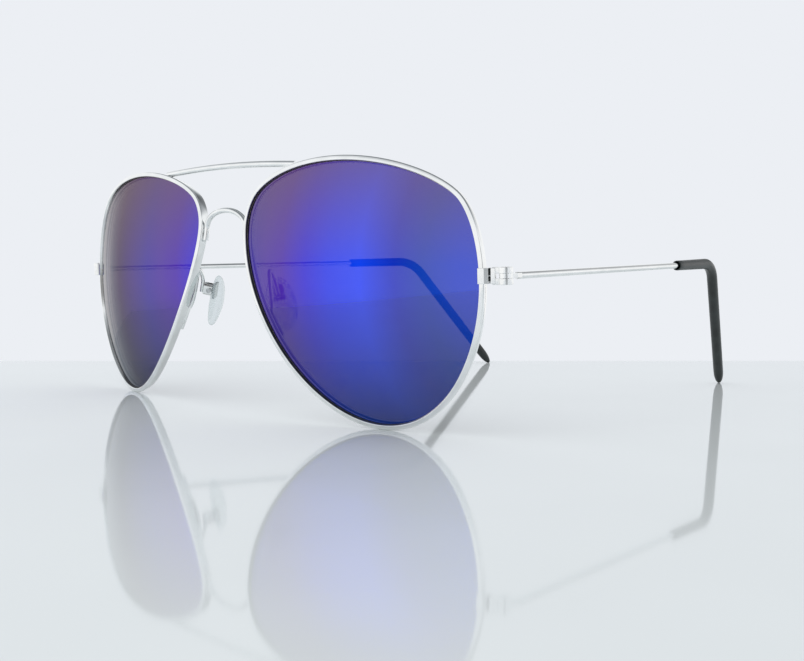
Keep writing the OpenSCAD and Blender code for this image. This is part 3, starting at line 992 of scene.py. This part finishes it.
@dataclass
class NoseRest(HalfAssembly):
    """One nose pad with the looped arm that carries it, placed from the pad's joint."""

    pivot: Vector
    height: float = 11.5
    width: float = 6.5
    thickness: float = 2.2
    splay: float = 40.0
    lean: float = 18.0
    hang: float = 2.4
    stand: float = 0.9
    dome: float = 14.0
    edge: float = 0.55
    egg: float = 0.06
    around: int = 72
    face_shares: tuple[float, ...] = (0.12, 0.3, 0.5, 0.7, 0.85)
    back_shares: tuple[float, ...] = (0.85, 0.6, 0.35, 0.12)
    edge_steps: int = 6
    arm_diameter: float = 0.9
    arm_angle: float = 213.0
    arm_lie: float = 6.0
    arm_seat: float = 0.57
    arm_peak: float = 3.3
    arm_steps: int = 20
    lap_steps: int = 4
    foot_lift: float = 0.8
    foot_pull: float = 1.6
    peak_in: float = 0.3
    peak_pulls: tuple[Triple, Triple] = ((0.3, -0.3, -2.2), (-0.2, 0.2, 1.4))
    box_pull: float = 1.8
    box_back: float = 1.3
    box_half: float = 0.95
    bead_back: float = 0.27
    bead_angles: Pair = (216.6, 214.2)
    bead_halves: Triple = (1.1, 0.42, 0.4)

    def pad_turn(self) -> Matrix:
        """How the left pad stands in the square front."""
        return turn(-self.lean, "Y") @ turn(-self.splay, "Z")

    def pad_row(self, local: Vector) -> Vector:
        """From the left pad's own frame, in millimetres, to the row frame, in metres."""
        return self.pivot + self.tipped(self.pad_turn() @ local)

    def rings(self) -> list[Pair]:
        """Share of the oval and depth of each ring, from the nose face round the edge to the back."""
        edge = [(1.0, depth) for depth in shares(self.edge_steps)]
        return [(s, 0.0) for s in self.face_shares] + edge + [(s, 1.0) for s in self.back_shares]

    def build_pad(self) -> None:
        """Make the clear pad: an oval pillow with a domed nose face and a rounded edge."""
        points: list[Vector] = []
        near, far = -self.stand - self.thickness, -self.stand
        rings = self.rings()
        for share, depth in rings:
            bulge = math.sin(math.pi * depth) if share == 1.0 else 0.0
            inset = self.edge * (1 - bulge)
            for j in range(self.around):
                a = 2 * math.pi * j / self.around
                y = share * (self.width / 2 - inset) * math.cos(a)
                z = share * (self.height / 2 - inset) * math.sin(a) * (1 + self.egg * math.cos(a))
                face = near + (y * y + z * z) / (2 * self.dome)
                x = face + (far - face) * (0.5 - 0.5 * math.cos(math.pi * depth))
                points.append(self.pad_row(Vector((x, y, z - self.hang))))
        faces = capped_faces(len(rings), self.around)
        pad = mesh_object(self.named("clear_pad"), points, faces, [self.finishes[PadSilicone]])
        fix(pad, self.named("nose_pad"), Slot.PAD, self.named("nose_pad"))

    def arm_path(self) -> list[Vector]:
        """Find the arm's middle line: along the rim, up in a loop and down the box.

        Returns:
            Its points in the square front.
        """
        back = self.front.rim_depth + self.arm_diameter / 2 + self.front.seat_gap
        lap = [self.front.rim_point(self.arm_angle + self.arm_lie * (1 - share), self.arm_seat, back)
               for share in shares(self.lap_steps)]
        out = self.box_back + self.arm_diameter / 2 + self.front.seat_gap
        land, end = (self.front.pad_pivot + self.pad_turn() @ Vector((out, 0, z))
                     for z in (self.box_half, -self.box_half))
        foot = lap[-1]
        top = Vector((land.x - self.peak_in, (land.y + foot.y) / 2, self.arm_peak))
        rise = ((foot - lap[0]).normalized() + Vector((0, self.foot_lift, 0))).normalized()
        before, after = (top + Vector(pull) for pull in self.peak_pulls)
        up = bezier(foot, foot + self.foot_pull * rise, before, top, self.arm_steps)
        down = bezier(top, after, land + self.box_pull * (land - end).normalized(), land, self.arm_steps)
        return lap + up + down + [end]

    def add_solder(self, solder: Solder) -> None:
        """Put a bead between the rim and the end of the arm.

        Args:
            solder: the beads, which are mirrored there.
        """
        back = self.front.rim_depth + self.bead_back
        at, ahead = (self.front.rim_point(angle, self.arm_seat, back) for angle in self.bead_angles)
        solder.add(at, ahead, self.bead_halves)

    def build(self) -> None:
        """Make the pad and its looped wire arm."""
        self.build_pad()
        path = [self.front.row(p, self.side) for p in self.arm_path()]
        arm = WireSweep(self.named("arm_wire"), path, self.arm_diameter / 2, self.finishes[SilverPlate])
        fix(arm.build(), "front", Slot.METAL, self.named("pad_arm"))


@dataclass
class MachinedPiece(HalfAssembly):
    """A small machined piece of the front: a copy of its solid, with the sharp edges rounded."""

    part: str
    soft_angle: float
    unpolished: bool
    round_mm: float = 0.06
    segments: int = 3
    sharp_angle: float = 35.0
    flat_angle: float = 1.0
    merge_mm: float = 0.001
    facing_front: float = 0.9

    def soften(self, mesh: Mesh) -> None:
        """Shade the rounded edges smoothly and keep the large faces flat, by weighing faces by area.

        Args:
            mesh: the rounded copy.
        """
        mesh.shade_smooth()
        touching: list[list[bpy.types.MeshPolygon]] = [[] for _ in mesh.vertices]
        for face in mesh.polygons:
            for corner in face.vertices:
                touching[corner].append(face)
        level = math.cos(math.radians(self.soft_angle))
        normals = []
        for face in mesh.polygons:
            for corner in face.vertices:
                near = [other for other in touching[corner] if other.normal.dot(face.normal) > level]
                normals.append(sum((other.normal * other.area for other in near), Vector()).normalized())
        mesh.normals_split_custom_set(normals)

    def build(self, nodes: dict[str, Object]) -> None:
        """Make the rounded copy.

        Args:
            nodes: the CAD objects by name, which stay as they are.
        """
        node = nodes[self.named(self.part)]
        work = bmesh.new()
        work.from_mesh(node.data)
        bmesh.ops.remove_doubles(work, verts=work.verts, dist=self.merge_mm * MM)
        bmesh.ops.dissolve_limit(work, angle_limit=math.radians(self.flat_angle), verts=work.verts,
                                 edges=work.edges)
        limit = math.radians(self.sharp_angle)
        edges = [edge for edge in work.edges if edge.is_manifold and edge.calc_face_angle() > limit]
        bmesh.ops.bevel(work, geom=edges, offset=self.round_mm * MM, offset_type="OFFSET", profile=0.5,
                        segments=self.segments, affect="EDGES", clamp_overlap=False)
        bmesh.ops.triangulate(work, faces=[face for face in work.faces if len(face.verts) > 4])
        mesh = bpy.data.meshes.new(node.name + "_rounded")
        work.to_mesh(mesh)
        work.free()
        for material in (self.finishes[SilverPlate], self.finishes[GrooveWall]):
            mesh.materials.append(material)
        angle = self.front.joint_turn()
        ahead = self.mirrored(Vector((math.sin(angle), -math.cos(angle), 0)))
        # The lock fronts, at the bottom of the closing slot, get painted shade.
        for face in mesh.polygons:
            face.material_index = int(self.unpolished and face.normal.dot(ahead) > self.facing_front)
        self.soften(mesh)
        fix(put(mesh.name, mesh), "front", Slot.METAL, node.name)


@dataclass
class Sleeve(HalfAssembly):
    """Black sleeve over the ear end of one temple, placed from the temple's joint."""

    hinge: Vector
    wire_out: float = 0.9
    wire_diameter: float = 1.3
    temple_in: float = 12.0
    drop: float = 1.0
    lean: float = 12.0
    mouth: float = 74.0
    bend: float = 95.0
    bend_radius: float = 9.0
    bend_angle: float = 54.0
    half_mouth: float = 1.1
    half_hook: float = 1.3
    half_tip: float = 1.2
    swell: float = 0.1
    tip: float = 4.0
    lip: float = 0.18
    lip_turns: tuple[int, ...] = (90, 60, 30, 0)
    bore: tuple[Pair, ...] = ((2.4, 0.0), (1.2, 0.0), (0.4, 0.132), (0.0, 0.22))
    crease: float = 60.0
    around: int = 32
    straight_steps: int = 8
    bend_steps: int = 24
    hook_steps: int = 12
    tip_steps: int = 12

    def row(self, local: Vector) -> Vector:
        """From the left wire's own frame, with the hinge at 0 and the wire along +Y, to the row frame."""
        turned = turn(-self.drop, "X") @ turn(self.lean, "Y") @ local + Vector((self.wire_out, 0, 0))
        return self.hinge + self.tipped(turn(self.temple_in, "Z") @ turned)

    def bend_start(self) -> float:
        """Where the straight wire ends, from the hinge."""
        return self.bend - self.bend_radius * math.tan(math.radians(self.bend_angle / 2))

    def along_bend(self, angle: float) -> Vector:
        """A point on the bend, at an angle from its start."""
        a, r = math.radians(angle), self.bend_radius
        return Vector((0, self.bend_start() + r * math.sin(a), -r * (1 - math.cos(a))))

    def along_hook(self, distance: float) -> Vector:
        """A point on the straight hook, at a distance from the bend's end."""
        a = math.radians(self.bend_angle)
        return self.along_bend(self.bend_angle) + Vector((0, math.cos(a), -math.sin(a))) * distance

    def hook_length(self) -> float:
        """Find the length of the hook that makes the rounded tip stand on the table.

        Returns:
            The length.
        """
        fall = (self.row(self.along_hook(1)) - self.row(self.along_hook(0))).z / MM
        reach = math.hypot(self.tip * fall, self.half_tip * math.sqrt(1 - fall * fall))
        return (reach - self.row(self.along_hook(0)).z / MM) / fall

    def stations(self) -> list[Station]:
        """List the rings from the bore, round the lip of the mouth and on to the tip.

        Returns:
            Middle, direction, half thickness and half width of each ring.
        """
        start, hook = self.bend_start(), self.hook_length()
        rows: list[Station] = []
        for depth, more in self.bore:
            half = self.wire_diameter / 2 + self.front.seat_gap + more
            rows.append((Vector((0, self.mouth + depth, 0)), 0.0, half, half))
        for a in map(math.radians, self.lip_turns):
            half = self.half_mouth - self.lip * (1 - math.cos(a))
            rows.append((Vector((0, self.mouth + self.lip * (1 - math.sin(a)), 0)), 0.0, half, half))
        for share in shares(self.straight_steps)[1:-1]:
            middle = Vector((0, self.mouth + share * (start - self.mouth), 0))
            rows.append((middle, 0.0, self.half_mouth, self.half_mouth + self.swell * share))
        swollen = self.half_mouth + self.swell
        for share in shares(self.bend_steps):
            angle = share * self.bend_angle
            rows.append((self.along_bend(angle), angle,
                         self.half_mouth + share * (self.half_tip - self.half_mouth),
                         swollen + share * (self.half_hook - swollen)))
        for share in shares(self.hook_steps)[1:]:
            rows.append((self.along_hook(share * hook), self.bend_angle, self.half_tip,
                         self.half_hook + share * share * (self.half_tip - self.half_hook)))
        for share in shares(self.tip_steps)[1:-1]:
            a = math.radians(90 * share)
            half = self.half_tip * math.cos(a)
            rows.append((self.along_hook(hook + self.tip * math.sin(a)), self.bend_angle, half, half))
        return rows

    def ring(self, station: Station) -> list[Vector]:
        """Draw one ring.

        Args:
            station: the ring's middle, direction, half thickness and half width.

        Returns:
            Its points in the row frame.
        """
        middle, direction, thick, wide = station
        d = math.radians(direction)
        points = []
        for k in range(self.around):
            a = 2 * math.pi * k / self.around
            across = wide * math.sin(a)
            offset = Vector((thick * math.cos(a), across * math.sin(d), across * math.cos(d)))
            points.append(self.row(middle + offset))
        return points

    def build(self) -> None:
        """Make the sleeve as one closed skin."""
        stations = self.stations()
        points = [p for station in stations for p in self.ring(station)]
        faces = capped_faces(len(stations), self.around)
        sleeve = mesh_object(self.named("ear_sleeve"), points, faces, [self.finishes[SleevePlastic]],
                             crease=self.crease)
        fix(sleeve, self.named("temple"), Slot.SLEEVE, self.named("sleeve"))


@dataclass(frozen=True)
class Shade:
    """A duller part of the room that only reflections show: its direction, reach and remaining light."""

    towards: Triple
    cosines: Pair
    left: float


@dataclass
class Studio:
    """Pale glossy table, pale room, a soft light and the camera."""

    room: str = "#ECEFF4"
    sky: Stops = (
        (0.0, "#DADFE2"), (0.42, "#E6ECEF"), (0.45, "#FFFFFF"), (0.7, "#F6F8FA"), (0.78, "#B0B4B8"),
        (0.86, "#7C8084"), (1.0, "#8A8E92"))
    shades: tuple[Shade, Shade] = (Shade((0.78, -0.62, 0.06), (0.93, 0.98), 0.3),
                                   Shade((-0.1, 0.84, 0.53), (0.91, 0.97), 0.55))
    camera_at: Triple = (214.66, -211.53, 32.88)
    camera_yaw: float = 46.9
    camera_pitch: float = -3.53
    focal_mm: float = 55.18
    sensor_mm: float = 36.0
    clip_start_mm: float = 10.0
    lamp_at: Triple = (-150.0, -350.0, 600.0)
    lamp_size: float = 600.0
    lamp_power: float = 0.8
    table_half: float = 1500.0
    table_left: float = 200.0
    table_reach: float = 380.0

    def build_world(self) -> None:
        """Light the room evenly; reflections see a white wall, a duller ceiling and two duller places."""
        world = bpy.data.worlds.new("pale_room")
        bpy.context.scene.world = world
        world.use_nodes = True
        tree = world.node_tree
        tree.nodes.clear()
        path = add_node(tree, "ShaderNodeLightPath")
        course = add_node(tree, "ShaderNodeTexCoord")["Generated"]
        up = add_node(tree, "ShaderNodeSeparateXYZ", {0: course})["Z"]
        height = add_node(tree, "ShaderNodeMapRange", {"Value": up, "From Min": -1.0, "From Max": 1.0})
        sky = add_node(tree, "ShaderNodeValToRGB", {"Fac": height["Result"]}, self.sky)
        dimmed = []
        for shade in self.shades:
            towards = add_node(tree, "ShaderNodeVectorMath", {0: course, 1: shade.towards},
                               operation="DOT_PRODUCT")
            dimmed.append(add_node(tree, "ShaderNodeMapRange", {
                "Value": towards["Value"], "From Min": shade.cosines[0], "From Max": shade.cosines[1],
                "To Min": 1.0, "To Max": shade.left})["Result"])
        strength = add_node(tree, "ShaderNodeMath", dict(enumerate(dimmed)), operation="MULTIPLY")[0]
        room = add_node(tree, "ShaderNodeBackground", {"Color": linear(self.room)})
        mirrored = add_node(tree, "ShaderNodeBackground", {"Color": sky["Color"], "Strength": strength})
        mix = add_node(tree, "ShaderNodeMixShader", {0: path["Is Glossy Ray"], 1: room[0], 2: mirrored[0]})
        add_node(tree, "ShaderNodeOutputWorld", {"Surface": mix[0]})

    def build_table(self) -> None:
        """Lay the table as one pale lacquered sheet, with its edges square to the camera's view."""
        half, left, reach = self.table_half, self.table_left, self.table_reach
        stand = Vector((*self.camera_at[:2], 0))
        corners = [(stand + turn(self.camera_yaw, "Z") @ Vector((x, y, 0))) * MM
                   for x, y in ((-left, -half), (half, -half), (half, reach), (-left, reach))]
        lacquer = TableLacquer(gloss=self.room).build()
        mesh_object("table_top", corners, [(0, 1, 2, 3)], [lacquer])

    def build_lights(self) -> None:
        """Hang one large soft box over the front, which mirrors and metal do not show."""
        lamp = bpy.data.lights.new("soft_box", "AREA")
        lamp.size = self.lamp_size * MM
        lamp.energy = self.lamp_power
        thing = put("soft_box", lamp)
        thing.location = Vector(self.lamp_at) * MM
        thing.rotation_euler = (-thing.location).to_track_quat("-Z", "Y").to_euler()
        thing.visible_glossy = False

    def build_camera(self) -> None:
        """Place the camera where the picture was taken from."""
        camera = bpy.data.cameras.new("camera")
        camera.lens = self.focal_mm
        camera.sensor_width = self.sensor_mm
        camera.clip_start = self.clip_start_mm * MM
        thing = put("camera", camera)
        thing.location = Vector(self.camera_at) * MM
        thing.rotation_euler = (math.radians(90 + self.camera_pitch), 0, math.radians(self.camera_yaw))
        bpy.context.scene.camera = thing

    def build(self) -> None:
        """Set up the whole studio."""
        bpy.context.scene.view_settings.view_transform = "Standard"
        self.build_world()
        self.build_table()
        self.build_lights()
        self.build_camera()


def dress_nodes(nodes: dict[str, Object], finishes: Finishes) -> None:
    """Give every CAD node the finish of its slot.

    Args:
        nodes: the CAD objects by name.
        finishes: the materials by their finish.
    """
    by_slot = {Slot.METAL.value: finishes[SilverPlate], Slot.SCREW.value: finishes[ScrewSteel],
               Slot.LENS.value: finishes[MirrorCoat], Slot.SLEEVE.value: finishes[SleevePlastic],
               Slot.PAD.value: finishes[PadSilicone]}
    for thing in nodes.values():
        for holder in thing.material_slots:
            holder.material = by_slot[holder.material.name.split(".")[0]]


def main() -> None:
    """Build the sunglasses and their studio."""
    logging.basicConfig(level=logging.INFO, format="%(name)s %(message)s")
    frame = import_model()
    finishes = {kind: kind().build() for kind in (
        SilverPlate, SilverSolder, GrooveWall, ScrewSteel, MirrorCoat, TintedBack, LensEdge, SleevePlastic,
        PadSilicone)}
    dress_nodes(frame["nodes"], finishes)
    joints = {joint["name"]: Vector(joint["pos_m"]) for joint in frame["joints"]}
    front = Front(joints["left_pad_rock"])
    for side in Side:
        Eyewire(front, finishes, side).build()
        Lens(front, finishes, side).build()
        NoseRest(front, finishes, side, joints[f"{side.word}_pad_rock"]).build()
        Sleeve(front, finishes, side, joints[f"{side.word}_temple_fold"]).build()
        for part in MACHINED:
            MachinedPiece(front, finishes, side, *part).build(frame["nodes"])
    bridge = Bridge(front, finishes)
    bridge.build()
    solder = Solder(front, finishes)
    bridge.add_solder(solder)
    NoseRest(front, finishes, Side.LEFT, joints["left_pad_rock"]).add_solder(solder)
    solder.build()
    Studio().build()


if __name__ == "__main__":
    main()
